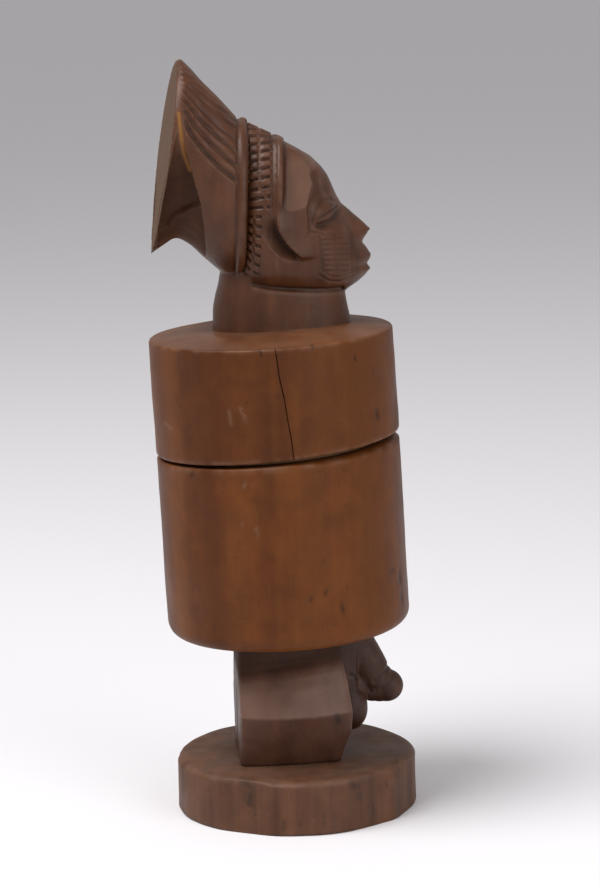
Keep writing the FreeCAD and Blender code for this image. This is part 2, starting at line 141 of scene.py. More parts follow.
# finishes a piece: puts its place in its mesh and ties it to the frame
def place(mesh, name, matrix, body, nodes, material):
    mesh.name = name
    mesh.transform(matrix)
    mesh.shade_smooth()
    mesh.materials.clear()
    mesh.materials.append(material)
    piece = bpy.data.objects.new(name, mesh)
    bpy.context.scene.collection.objects.link(piece)
    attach(piece, body)
    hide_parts(*nodes)
    print(name, len(mesh.polygons), "faces")
    return piece


# a closed ring of points that follows a function of the turn from 0 to 1
def ring(bm, outline, steps):
    made = bmesh.ops.create_circle(bm, segments=steps, radius=1)["verts"]
    for i, vert in enumerate(made):
        vert.co = outline(i / steps)
    return made


# joins rings into one closed form with flat ends
def loft(bm, outlines, steps):
    rings = [ring(bm, outline, steps) for outline in outlines]
    loops = [[e for e in {e for v in r for e in v.link_edges}] for r in rings]
    for low, high in zip(loops, loops[1:]):
        bmesh.ops.bridge_loops(bm, edges=low + high)
    for end in (rings[0], rings[-1]):
        bmesh.ops.contextual_create(bm, geom=end)


# turns a half outline of radius and height about the vertical axis
def spun(profile, steps, longest):
    bm = bmesh.new()
    verts = [bm.verts.new((r, 0, h)) for r, h in profile]
    edges = [bm.edges.new(pair) for pair in zip(verts, verts[1:])]
    for edge in edges:
        cuts = int(edge.calc_length() / longest)
        if cuts:
            bmesh.ops.subdivide_edges(bm, edges=[edge], cuts=cuts)
    bmesh.ops.spin(bm, geom=bm.verts[:] + bm.edges[:], angle=math.tau, steps=steps,
                   axis=(0, 0, 1), cent=(0, 0, 0), use_merge=True)
    return bm


# points of a rounded edge: start is the angle in quarter turns where it begins
def corner(radius, height, size, start, steps=4):
    return [
        (radius + size * math.cos((start + i / steps) * math.pi / 2),
         height + size * math.sin((start + i / steps) * math.pi / 2))
        for i in range(steps + 1)
    ]


# 1 between two places and 0 outside them, with soft ends
def within(value, low, high, soft):
    return ramp(value, low, low + soft) * (1 - ramp(value, high - soft, high))


# 1 at the middle and almost 0 at twice the half width; a power of 4 has a flat top
def bell(value, middle, half, power=2):
    return np.exp(-((value - middle) / half) ** power)


# soft noise as a mask from 0 to 1, with its middle and its swing
def patchy(points, size, seed, middle, swing):
    return np.clip(middle + swing * wobble(points, size, seed), 0, 1)


# reads straight stretches between the values given for a few places
def linear(table, at):
    places = sorted(table)
    return np.interp(at, places, [table[p] for p in places])


# reads a smooth curve through a few values given for a few places
def along(table, at):
    places = np.array(sorted(table))
    values = np.array([table[p] for p in places], dtype=float)
    slopes = np.gradient(values, places, axis=0)
    at = float(np.clip(at, places[0], places[-1]))
    i = int(min(np.searchsorted(places, at, side="right") - 1, len(places) - 2))
    span = places[i + 1] - places[i]
    t = (at - places[i]) / span
    return ((1 + 2 * t) * (1 - t) ** 2 * values[i] + t * (1 - t) ** 2 * span * slopes[i]
            + t * t * (3 - 2 * t) * values[i + 1] + t * t * (t - 1) * span * slopes[i + 1])


# distance of each point of the side view from a line of joined stretches
def awayFrom(front, high, route):
    nearest = np.full(len(front), 1e9)
    for (f0, h0), (f1, h1) in zip(route, route[1:]):
        run = np.array((f1 - f0, h1 - h0))
        share = np.clip(((front - f0) * run[0] + (high - h0) * run[1]) / (run @ run), 0, 1)
        nearest = np.minimum(nearest, np.hypot(front - f0 - share * run[0],
                                               high - h0 - share * run[1]))
    return nearest


# the deepest of several grooves at each point; each has a route, a depth and a width
def grooves(front, high, cuts, power=2):
    found = np.zeros(len(front))
    for route, deep, width in cuts:
        found = np.maximum(found, deep * bell(awayFrom(front, high, route), 0, width, power))
    return found


# materials

def link(tree, source, target):
    tree.links.new(source, target)


def node(tree, kind, **settings):
    made = tree.nodes.new(kind)
    for key, value in settings.items():
        if key.startswith("in_"):
            made.inputs[key[3:].replace("_", " ")].default_value = value
        else:
            setattr(made, key, value)
    return made


# sets a socket to a number or a colour, or links another socket to it
def feed(tree, value, socket):
    if isinstance(value, bpy.types.NodeSocket):
        link(tree, value, socket)
    else:
        socket.default_value = (*value, 1) if isinstance(value, tuple) else value


# one sum on numbers or sockets
def maths(tree, operation, *values, **settings):
    made = node(tree, "ShaderNodeMath", operation=operation, **settings)
    for value, socket in zip(values, made.inputs):
        feed(tree, value, socket)
    return made.outputs[0]


# stretches the values between low and high over 0 to 1
def spread(tree, socket, low, high):
    made = node(tree, "ShaderNodeMapRange", in_From_Min=low, in_From_Max=high)
    link(tree, socket, made.inputs["Value"])
    return made.outputs[0]


# mixes a colour over another
def tint(tree, base, other, amount):
    mix = node(tree, "ShaderNodeMix", data_type="RGBA")
    for value, socket in ((amount, mix.inputs[0]), (base, mix.inputs[6]), (other, mix.inputs[7])):
        feed(tree, value, socket)
    return mix.outputs[2]


# grain of one log: growth rings round the pith, long streaks, pores and slow clouds
def makeGrainGroup():
    group = bpy.data.node_groups.new("logGrain", "ShaderNodeTree")
    for name, value in (("ringWidth", 3.0), ("streakWidth", 4.0), ("pithX", 0.0), ("pithY", 0.0)):
        socket = group.interface.new_socket(name, in_out="INPUT", socket_type="NodeSocketFloat")
        socket.default_value = value
    for name in ("ring", "streak", "pore", "cloud"):
        group.interface.new_socket(name, in_out="OUTPUT", socket_type="NodeSocketFloat")
    inside = node(group, "NodeGroupInput")
    outside = node(group, "NodeGroupOutput")
    coords = node(group, "ShaderNodeTexCoord")
    inMm = node(group, "ShaderNodeVectorMath", operation="SCALE", in_Scale=1000)
    link(group, coords.outputs["Object"], inMm.inputs[0])

    # noise drawn out along the log; a small squeeze makes it long
    def stretched(squeeze, scale, detail, rough=0.6):
        mapping = node(group, "ShaderNodeMapping", in_Scale=(1, 1, squeeze))
        link(group, inMm.outputs[0], mapping.inputs["Vector"])
        texture = node(group, "ShaderNodeTexNoise", in_Detail=detail, in_Roughness=rough)
        feed(group, scale, texture.inputs["Scale"])
        link(group, mapping.outputs[0], texture.inputs["Vector"])
        return texture.outputs["Fac"]

    # growth rings: distance from the pith, pushed about by slow noise
    split = node(group, "ShaderNodeSeparateXYZ")
    link(group, inMm.outputs[0], split.inputs[0])
    squares = []
    for axis in "XY":
        fromPith = maths(group, "SUBTRACT", split.outputs[axis], inside.outputs["pith" + axis])
        squares.append(maths(group, "POWER", fromPith, 2))
    distance = maths(group, "SQRT", maths(group, "ADD", *squares))
    drift = maths(group, "MULTIPLY_ADD", stretched(0.18, 0.035, 3), 14, distance)
    counted = maths(group, "DIVIDE", drift, inside.outputs["ringWidth"])
    wave = maths(group, "SINE", maths(group, "MULTIPLY", counted, math.tau))

    perWidth = maths(group, "DIVIDE", 1, inside.outputs["streakWidth"])
    for name, mask in (
        ("ring", spread(group, wave, -1, 1)),
        ("streak", stretched(0.045, perWidth, 3, 0.52)),
        ("pore", spread(group, stretched(0.07, 1.7, 2), 0.60, 0.72)),
        ("cloud", spread(group, stretched(0.4, 0.045, 3), 0.35, 0.70)),
    ):
        link(group, mask, outside.inputs[name])
    return group


# marks of use: specks of dirt, pale scuffs, dull patches, and darker and lighter clouds
def makeHandlingGroup():
    group = bpy.data.node_groups.new("handling", "ShaderNodeTree")
    for name in ("speck", "scuff", "dull", "blotch", "glow"):
        group.interface.new_socket(name, in_out="OUTPUT", socket_type="NodeSocketFloat")
    outside = node(group, "NodeGroupOutput")
    coords = node(group, "ShaderNodeTexCoord")
    for name, scale, detail, low, high in (
        ("speck", 420, 1, 0.70, 0.76), ("scuff", 95, 6, 0.64, 0.74), ("dull", 38, 4, 0.40, 0.70),
        ("blotch", 105, 5, 0.42, 0.70), ("glow", 62, 5, 0.48, 0.70),
    ):
        texture = node(group, "ShaderNodeTexNoise", in_Scale=scale, in_Detail=detail)
        link(group, coords.outputs["Object"], texture.inputs["Vector"])
        link(group, spread(group, texture.outputs["Fac"], low, high), outside.inputs[name])
    return group


grainGroup = makeGrainGroup()
handlingGroup = makeHandlingGroup()
# coats of colour over the streaks, first to last: tone, mask and strength
# The dust tone over the wear mask is real wear and dust, and also painted light: a painted sheen
# on top faces, a lit leg facet and painted highlights on the head. The deep tone over the cut mask
# is painted shade in cuts, creases and recesses, and also real dark dents, stains and a knot.
coats = (
    ("red", "cloud", "cloudy"), ("dark", "ring", "ringy"), ("light", "glow", "mottled"),
    ("dark", "blotch", "mottled"), ("dark", "darkBand", "banded"),
    ("light", "lightBand", "banded"), ("poreTone", "pore", "porous"),
    ("dustAndLight", "scuff", "scuffed"), ("poreTone", "speck", "specked"), ("dustAndLight", "wear", "worn"),
    ("deep", "cut", "shaded"), ("sap", "sap", "sapped"), ("raw", "raw", "bared"),
)


# varnished wood. look holds its colours, grain sizes, gloss and wear
def makeWood(name, look):
    material = bpy.data.materials.new(name)
    material.use_nodes = True
    tree = material.node_tree
    shader = tree.nodes["Principled BSDF"]
    grain = node(tree, "ShaderNodeGroup", node_tree=grainGroup, name="grain")
    for key in ("ringWidth", "streakWidth", "pithX", "pithY"):
        grain.inputs[key].default_value = look[key]
    handling = node(tree, "ShaderNodeGroup", node_tree=handlingGroup, name="handling")

    # a mask from the grain, from the marks of use, or painted on the mesh
    def mask(name):
        for made in (grain, handling):
            if name in made.outputs:
                return made.outputs[name]
        return node(tree, "ShaderNodeAttribute", attribute_name=name).outputs["Fac"]

    streaks = spread(tree, grain.outputs["streak"], *look["contrast"])
    colour = tint(tree, look["dark"], look["light"], streaks)
    for tone, where, strength in coats:
        if strength in look:
            amount = maths(tree, "MULTIPLY", mask(where), look[strength])
            colour = tint(tree, colour, look[tone], amount)
    link(tree, colour, shader.inputs["Base Color"])

    rough = maths(tree, "MULTIPLY_ADD", mask("dull"), look["uneven"], look["rough"])
    for where in ("raw", "dry"):
        rough = maths(tree, "MULTIPLY_ADD", mask(where), look["matt"], rough, use_clamp=True)
    link(tree, rough, shader.inputs["Roughness"])

    height = maths(tree, "SUBTRACT", grain.outputs["streak"], grain.outputs["pore"])
    bump = node(tree, "ShaderNodeBump", in_Strength=look["bumpy"], in_Distance=look["grainDeep"])
    link(tree, height, bump.inputs["Height"])
    link(tree, bump.outputs[0], shader.inputs["Normal"])
    for socket, key in (("Specular IOR Level", "shine"), ("Coat Weight", "coat"),
                        ("Coat Roughness", "coatRough")):
        shader.inputs[socket].default_value = look[key]
    return material


drumLook = {
    "dark": (0.058, 0.0150, 0.0034), "light": (0.150, 0.047, 0.0080),
    "red": (0.112, 0.0265, 0.0045), "raw": (0.12, 0.055, 0.024), "deep": (0.008, 0.004, 0.002),
    "poreTone": (0.02, 0.007, 0.003), "dustAndLight": (0.20, 0.115, 0.075),
    "ringWidth": 7.5, "streakWidth": 12.0, "pithX": 22.0, "pithY": -31.0, "contrast": (0.28, 0.72),
    "cloudy": 0.5, "ringy": 0.12, "mottled": 0.5, "porous": 0.2, "scuffed": 0.05, "specked": 0.2,
    "worn": 0.32, "shaded": 0.85, "bared": 1.0,
    "rough": 0.42, "uneven": 0.12, "matt": 0.35, "bumpy": 0.16, "grainDeep": 0.00035,
    "shine": 0.14, "coat": 0.03, "coatRough": 0.3,
}
headLook = {
    **drumLook, "dark": (0.040, 0.012, 0.0036), "light": (0.105, 0.036, 0.0122),
    "red": (0.082, 0.023, 0.0062), "ringWidth": 6.5, "streakWidth": 7.0, "rough": 0.42,
    "worn": 0.45, "sap": (0.20, 0.085, 0.016), "sapped": 1.0, "raw": (0.09, 0.047, 0.023),
    "bumpy": 0.22, "shine": 0.3,
}
legLook = {
    **drumLook, "dark": (0.046, 0.0165, 0.0085), "light": (0.096, 0.039, 0.021),
    "red": (0.08, 0.026, 0.0125), "streakWidth": 9.0, "rough": 0.44, "bumpy": 0.2, "worn": 0.5,
    "dustAndLight": (0.235, 0.135, 0.10), "shine": 0.3, "coat": 0.0,
}
pegLook = {
    **legLook, "dark": (0.028, 0.009, 0.0045), "light": (0.07, 0.028, 0.0145),
    "red": (0.054, 0.018, 0.009), "streakWidth": 5.0, "worn": 0.2,
}
baseLook = {
    **drumLook, "dark": (0.050, 0.0185, 0.0085), "light": (0.14, 0.056, 0.023),
    "red": (0.102, 0.036, 0.0155), "streakWidth": 7.0, "rough": 0.5, "uneven": 0.16,
    "scuffed": 0.10, "specked": 0.4, "worn": 0.32, "bumpy": 0.35, "coat": 0.0, "shine": 0.3,
    "dustAndLight": (0.22, 0.15, 0.115), "cloudy": 0.4, "mottled": 0.4,
}
plainLook = {
    **drumLook, "dark": (0.24, 0.13, 0.06), "light": (0.42, 0.26, 0.14), "red": (0.36, 0.2, 0.1),
    "rough": 0.66, "coat": 0.0, "shine": 0.3, "bumpy": 0.5,
}
drumWood = makeWood("drumWood", {**drumLook, "banded": 0.7})
lidWood = makeWood("lidWood", {
    **drumLook, "banded": 0.7, "pithX": 26.0, "dark": (0.054, 0.0140, 0.0032),
    "light": (0.132, 0.040, 0.0070), "red": (0.096, 0.0225, 0.0040),
})
headWood = makeWood("headWood", headLook)
legWood = makeWood("legWood", legLook)
pegWood = makeWood("pegWood", pegLook)
baseWood = makeWood("baseWood", baseLook)
plainWood = makeWood("plainWood", plainLook)
print("materials made")


# drums

drum = {
    "radius": 50.0, "steps": 360, "detail": 1.0, "outOfRound": 0.3, "ripple": 0.07,
    "foot": 76.0, "footRound": 6.0, "rim": 152.7, "rimSlope": 2.0, "rimWear": 1.2,
    "mouth": 42.0, "ledge": 144.0, "cavity": 38.0, "floor": 88.0,
    "under": 154.5, "underSlope": 2.8, "top": 199.5, "crown": 2.6, "crownRadius": 34.0,
    "edgeWear": 1.1, "recess": 41.6, "recessTop": 162.0, "dentDeep": 0.35,
    # places on the side are given as seen straight on; the surface lies this share further back
    "aside": 0.123,
}
# Marks on the figure's right side: pale scratches and dents, each a route in the side view
# and its width, then slow bands of colour: front of the middle, half width, strength.
boxMarks = {
    "seed": 3,
    "pale": ((((-15.0, 145.6), (-8.0, 144.6)), 0.35), (((-10.6, 128.0), (-9.8, 124.5)), 0.8),
             (((-16.2, 131.0), (-15.8, 127.6)), 0.45)),
    "dents": ((((42.6, 102.6), (44.0, 102.2)), 0.8), (((46.4, 99.5), (46.8, 96.0)), 0.5),
              (((9.2, 98.6), (9.6, 96.8)), 0.55), (((15.0, 100.6), (15.6, 99.8)), 0.6),
              (((21.6, 93.6), (22.4, 90.6)), 0.7), (((46.6, 91.0), (46.9, 87.0)), 0.5),
              (((-36.0, 148.8), (-32.0, 147.8)), 0.3)),
    "dark": ((-30.0, 4.5, 0.8), (-38.0, 2.0, 0.4), (-4.0, 4.0, 0.15), (46.0, 4.0, 0.2)),
    "light": ((-44.0, 3.5, 0.7), (-18.0, 6.0, 0.35), (10.0, 10.0, 0.5), (34.0, 9.0, 0.6)),
    # the rim is worn away towards the front: where it starts, is full, how deep and how tall
    "wornRim": (0.0, 22.0, 1.1, 1.7),
}
lidMarks = {
    "seed": 8,
    "pale": ((((-18.5, 176.0), (-18.0, 170.0)), 0.6), (((-13.6, 176.5), (-12.0, 171.5)), 0.8),
             (((-45.0, 168.0), (-43.0, 166.5)), 0.8)),
    "dents": ((((16.0, 200.0), (16.2, 198.0)), 0.5), (((-4.4, 199.0), (-4.2, 197.2)), 0.5),
              (((40.5, 169.0), (40.8, 166.0)), 0.7), (((33.0, 193.0), (33.1, 191.0)), 0.4)),
    "dark": ((-30.0, 8.0, 0.5), (-10.0, 8.0, 0.35), (3.0, 3.0, 0.4)),
    "light": ((-44.0, 5.0, 0.6), (18.0, 8.0, 0.6), (36.0, 12.0, 0.8)),
}
crack = {
    "route": ((1.5, 199.2), (1.8, 196.0), (2.4, 188.0), (4.0, 178.0), (4.6, 171.0),
              (5.6, 163.0), (6.4, 150.0)),
    "width": 0.42, "deep": 16.0,
}


# makes a turned drum slightly uneven, as a hand tool leaves it, and paints its wear, with a
# painted sheen on the lid's top face.
# Each worn edge is its height, its slope to the front and its width
def ageDrum(mesh, edges, signs):
    points, seed, size = readPoints(mesh), signs["seed"], drum["radius"]
    radius = np.hypot(points[:, 0], points[:, 1])
    outer = ramp(radius, size - 4, size - 0.5)
    front, high = drum["aside"] * np.abs(points[:, 0]) - points[:, 1], points[:, 2]
    right = ramp(-points[:, 0], 4, 14)
    onRight = (points[:, 0] < 0) * outer

    def marked(routes):
        return grooves(front, high, [(route, 1, width) for route, width in routes]) * onRight

    # bands run up the log; on the other sides they come from slow noise
    def banded(bands, shift):
        drawnOut = points * np.array((1, 1, 0.08))
        found = np.clip(2.4 * wobble(drawnOut, 15, seed + shift) - 0.1, 0, 0.8) * (1 - right)
        sway = front + 0.5 * wobble(points, 30, seed + shift)
        for centre, half, strength in bands:
            found = np.maximum(found, strength * bell(sway, centre, half) * right)
        return found
    paint(mesh, "darkBand", banded(signs["dark"], 4))
    paint(mesh, "lightBand", banded(signs["light"], 6))

    dent = marked(signs["dents"])
    push = drum["outOfRound"] * wobble(points, 34, seed)
    push += drum["ripple"] * wobble(points, 8, seed + 1)
    away = np.stack((points[:, 0], points[:, 1], 0 * radius), 1) / np.maximum(radius, 1)[:, None]
    points += away * (push * outer - drum["dentDeep"] * dent)[:, None]
    wear = np.zeros(len(points))
    if "wornRim" in signs:
        start, full, deep, tall = signs["wornRim"]
        slant = edges[0][0] - points[:, 1] * math.tan(math.radians(edges[0][1]))
        rim = ramp(front, start, full) * outer * ramp(high, slant - tall, slant + 0.7)
        points[:, 2] -= deep * rim * ramp(radius, size - 2.4, size - 0.6)
        wear = 0.7 * rim
    writePoints(mesh, points)

    for edge, slope, width in edges:
        line = edge - points[:, 1] * math.tan(math.radians(slope))
        wear = np.maximum(wear, bell(high, line, width))
    wear *= outer * patchy(points, 6, seed + 2, 0.5, 1.4)
    scratch = 1.7 * marked(signs["pale"]) * patchy(points, 1.6, seed + 3, 0.6, 1.2)
    # the lid's top face is painted paler and greyer in patches: a painted sheen
    topSheen = 0.9 * ramp(high, drum["top"] - 0.4, drum["top"] + 0.3)
    topSheen *= patchy(points, 14, seed + 9, 0.75, 0.5)
    paint(mesh, "wear", np.clip(np.maximum.reduce([wear, scratch, topSheen]), 0, 1))
    paint(mesh, "cut", 0.75 * dent)
    inside = (high < drum["top"] - 6) * (high > drum["foot"] + 6)
    paint(mesh, "raw", ramp(drum["mouth"] + 2.0 - radius, 0, 0.6) * inside)
    return mesh


# slants a rim so that it rises towards the figure's front
def slopeRim(bm, high, slope, reach, upward):
    for vert in bm.verts:
        share = (vert.co.z - high) / reach * (1 if upward else -1) + 1
        share = min(max(share, 0), 1)
        vert.co.z -= vert.co.y * math.tan(math.radians(slope)) * share


def makeBox():
    outer, wear, foot = drum["radius"], drum["rimWear"], drum["footRound"]
    profile = [(0, drum["foot"])]
    profile += corner(outer - foot, drum["foot"] + foot, foot, 3, 8)
    profile += corner(outer - wear, drum["rim"] - wear, wear, 0)
    profile += corner(drum["mouth"] + wear, drum["rim"] - wear, wear, 1)
    profile += [(drum["mouth"], drum["ledge"]), (drum["cavity"], drum["ledge"]),
                (drum["cavity"], drum["floor"] + 2), (drum["cavity"] - 2, drum["floor"]),
                (0, drum["floor"])]
    bm = spun(profile, drum["steps"], drum["detail"] * 2)
    slopeRim(bm, drum["rim"], drum["rimSlope"], 8.0, True)
    edges = ((drum["rim"] - 0.9, drum["rimSlope"], 1.2),)
    return ageDrum(meshFrom(bm, "container"), edges, boxMarks)


# a thin wedge that follows the drying crack down the figure's right side
def crackCutter():
    outlines = []
    for i, (front, high) in enumerate(crack["route"]):
        turn = math.asin(front / drum["radius"] - drum["aside"])
        away = Vector((-math.cos(turn), -math.sin(turn), 0))
        across = Vector((-math.sin(turn), math.cos(turn), 0)) * crack["width"] / 2
        across *= 0.5 if i == 0 else 1
        surface = away * (drum["radius"] + 2) + Vector((0, 0, high))
        inner = away * (drum["radius"] - crack["deep"]) + Vector((0, 0, high))
        corners = (surface + across, inner, surface - across)
        outlines.append(lambda turn, corners=corners: corners[round(turn * 3) % 3])
    bm = bmesh.new()
    loft(bm, outlines, 3)
    return meshFrom(bm, "crack")


def makeLid():
    outer, wear, crown = drum["radius"], drum["edgeWear"], drum["top"] + drum["crown"]
    profile = [(0, crown), (drum["crownRadius"], crown)]
    profile += corner(outer - wear, drum["top"] - wear, wear, 0)[::-1]
    profile += corner(outer - wear, drum["under"] + wear, wear, 3)[::-1]
    profile += [(drum["recess"], drum["under"]), (drum["recess"], drum["recessTop"]),
                (0, drum["recessTop"])]
    bm = spun(profile, drum["steps"], drum["detail"])
    slopeRim(bm, drum["under"], drum["underSlope"], 7.0, False)
    edges = ((drum["top"] - 0.5, 0, 0.7), (drum["under"] + 0.8, drum["underSlope"], 0.8))
    return cutAway(ageDrum(meshFrom(bm, "lid"), edges, lidMarks), crackCutter())


place(makeBox(), "container", leaning, "figure_base", ["container_drum"], drumWood)
place(makeLid(), "lid", leaning, "lid", ["lid_drum"], lidWood)
print("drums made")


# legs, base and front carving

legs = {
    # height: front, half width at the corners, extra half width at the middle of the side
    "levels": {22.6: (15.8, 22.4, 1.2), 26.2: (17.0, 23.0, 1.8), 36.3: (20.4, 24.8, 3.3),
               43.7: (20.8, 26.2, 4.6), 44.1: (20.8, 26.3, 4.6), 55.0: (19.2, 22.8, 3.1),
               59.5: (18.4, 21.0, 2.3), 62.0: (18.0, 19.6, 1.8), 64.0: (17.8, 18.3, 1.4),
               66.5: (17.6, 17.6, 1.1), 82.0: (17.6, 17.5, 1.1)},
    # how far lines rise for each millimetre to the front, at some heights
    "rise": {22.6: 0.0, 44.0: -0.02, 63.2: 0.10, 64.6: 0.10, 76.0: 0.0},
    "ridge": 44.0, "shoulder": 63.8, "back": 24.6, "corner": 1.6, "cut": (2.2, 1.0),
    # the block is set a little askew: how far its back shifts for each millimetre of side
    "askew": -0.06, "gap": 2.4, "crotch": 52.0, "scoop": 0.35, "voxel": 0.5,
    # a dark knot: a route in the side view, its strength and width
    "knot": (((13.4, 43.4), (14.0, 41.0)), 0.8, 1.3),
}
plinth = {
    "radius": 49.7, "high": 22.7, "edge": 2.2, "foot": 0.8,
    # flats cut on the side: direction in degrees and depth
    "flats": ((212, 1.7), (238, 1.2), (147, 1.5), (20, 1.2), (75, 0.9), (300, 1.4)),
    # a chip off the edge: a route in the side view, its depth and width
    "chip": (((36.0, 22.4), (42.0, 22.6)), 0.9, 1.6),
    # dark stains on the side: a route in the side view and its width
    "stains": ((((15.8, 19.6), (18.8, 17.8), (19.6, 13.0)), 1.3),
               (((38.0, 23.0), (38.2, 20.0)), 0.6),
               (((32.0, 19.0), (31.9, 14.6)), 0.45), (((-12.0, 6.0), (-12.2, 2.6)), 0.7),
               (((-26.0, 21.0), (-25.0, 12.0)), 2.4), (((4.0, 8.5), (4.3, 4.0)), 0.4),
               (((-4.4, 12.0), (-4.6, 7.0)), 0.35), (((26.0, 9.0), (26.3, 4.5)), 0.5)),
}
peg = {
    # front, height and radius down the shaft
    "shaft": ((22.5, 74.0, 8.2), (26.6, 66.0, 8.0), (30.4, 58.6, 7.9), (33.6, 52.4, 7.6),
              (36.4, 49.8, 6.6)),
    # front, height and size of the tip's balls, then side, front and height of the two lobes
    "balls": ((39.0, 47.9, 6.9), (36.0, 47.3, 6.2), (32.6, 47.0, 5.6), (27.0, 50.8, 6.8)),
    "lobes": ((4.8, 23.0, 40.6), (-4.8, 23.0, 40.6)), "lobeSize": (6.6, 6.9, 9.6),
    # the pad behind it: half width, front, back, foot and top
    "pad": (9.5, 25.5, 14.0, 44.0, 71.5), "padRound": 2.0,
    # grooves: a route in the side view, depth and width
    "notch": (((32.8, 51.7), (38.8, 56.2), (40.8, 57.7)), 0.6, 1.0),
    "seam": (((22.0, 55.5), (27.0, 53.0), (31.0, 47.0)), 0.5, 0.9),
    "scoop": 0.25, "voxel": 0.42, "smoothed": 6,
}


# the outline of the leg block at one height, as a function of the turn
def legOutline(high, flatTop):
    places = sorted(legs["levels"])
    front, half, bulge = (np.interp(high, places, [legs["levels"][p][i] for p in places])
                          for i in range(3))
    front, back, nick, (cutSide, cutBack) = -front, legs["back"], legs["corner"], legs["cut"]
    reach = (back - cutBack - front - nick) / 2
    belly = [(half + bulge * (1 - u * u), front + nick + reach * (1 + u))
             for u in np.linspace(-1, 1, 13)]
    right = [(half - nick, front)] + belly + [(half - cutSide, back)]
    corners = right + [(-x, y) for x, y in reversed(right)]
    corners = [(x, y + legs["askew"] * x * ramp(y, front, back)) for x, y in corners]
    corners.append(corners[0])
    lengths = np.cumsum([0] + [math.dist(a, b) for a, b in zip(corners, corners[1:])])
    rise = linear(legs["rise"], high)

    def outline(turn):
        at = turn * lengths[-1]
        x = np.interp(at, lengths, [c[0] for c in corners])
        y = np.interp(at, lengths, [c[1] for c in corners])
        lean = math.tan(math.radians(stance["lean"]))
        top = stance["drumFoot"] + (stance["drumBack"] - y) * lean
        return Vector((x, y, top if flatTop else high - rise * y))
    return outline


# the slit between the legs, with a pointed roof
def slitCutter():
    bm = bmesh.new()
    bmesh.ops.create_cube(bm, size=1)
    across = [e for e in bm.edges if abs(e.verts[0].co.x - e.verts[1].co.x) > 0.5]
    bmesh.ops.subdivide_edges(bm, edges=across, cuts=1)
    for vert in bm.verts:
        roof = legs["crotch"] if abs(vert.co.x) < 0.1 else legs["crotch"] - 5
        vert.co = Vector((vert.co.x * legs["gap"], vert.co.y * 90, roof if vert.co.z > 0 else 10))
    return meshFrom(bm, "slit")


def makeLegs():
    bm = bmesh.new()
    top = stance["drumFoot"]
    levels = list(np.arange(min(legs["levels"]), top - 2, 0.8)) + [top]
    loft(bm, [legOutline(h, h == top) for h in levels], 150)
    mesh = remeshed(cutAway(meshFrom(bm, "legs"), slitCutter()), legs["voxel"])
    points, normals = readPoints(mesh), readNormals(mesh)
    scoop = legs["scoop"] * chiselled(points, (13.0, 13.0, 15.0), 4) + 0.1 * wobble(points, 7, 5)
    free = ramp(points[:, 2], 22.6, 24.2) * (1 - ramp(points[:, 2], 72, 75))
    points -= normals * (scoop * free)[:, None]
    writePoints(mesh, points)

    # worn ridge, the upward facet painted lighter as painted light, the shoulder under the drum
    # painted darker as painted shadow and made drier, painted shade at the foot, and one knot
    side, front, high = points[:, 0], -points[:, 1], points[:, 2]
    aboveShoulder = high - legs["shoulder"] - 0.1 * front
    ridge = 0.5 * bell(high, legs["ridge"] + 0.3, 0.7) * patchy(points, 6, 6, 0.35, 1.5)
    # the facet facing up is painted lighter with the pale wear tone: painted light from the lamp
    # above
    facet = within(high, legs["ridge"] - 0.2, 65.5, 0.8) * (np.abs(side) > 18)
    facet *= (1 - ramp(aboveShoulder, -5.0, 0.0)) * (0.75 + 0.5 * wobble(points, 16, 7))
    paint(mesh, "wear", np.clip(np.maximum(ridge, facet), 0, 1))
    # the recessed shoulder under the drum is painted darker: painted shadow of the drum; it is
    # also made rougher
    shoulder = ramp(aboveShoulder, -4.5, 3.0)
    paint(mesh, "dry", shoulder)
    foot = 1 - ramp(high, 22.8, 24.6)
    knot = grooves(front, high, (legs["knot"],)) * (side < -15)
    # painted shade at the foot and painted shadow on the shoulder; the knot is a real dark mark
    paint(mesh, "cut", np.maximum.reduce([0.4 * foot, 0.6 * shoulder, knot]))
    return mesh


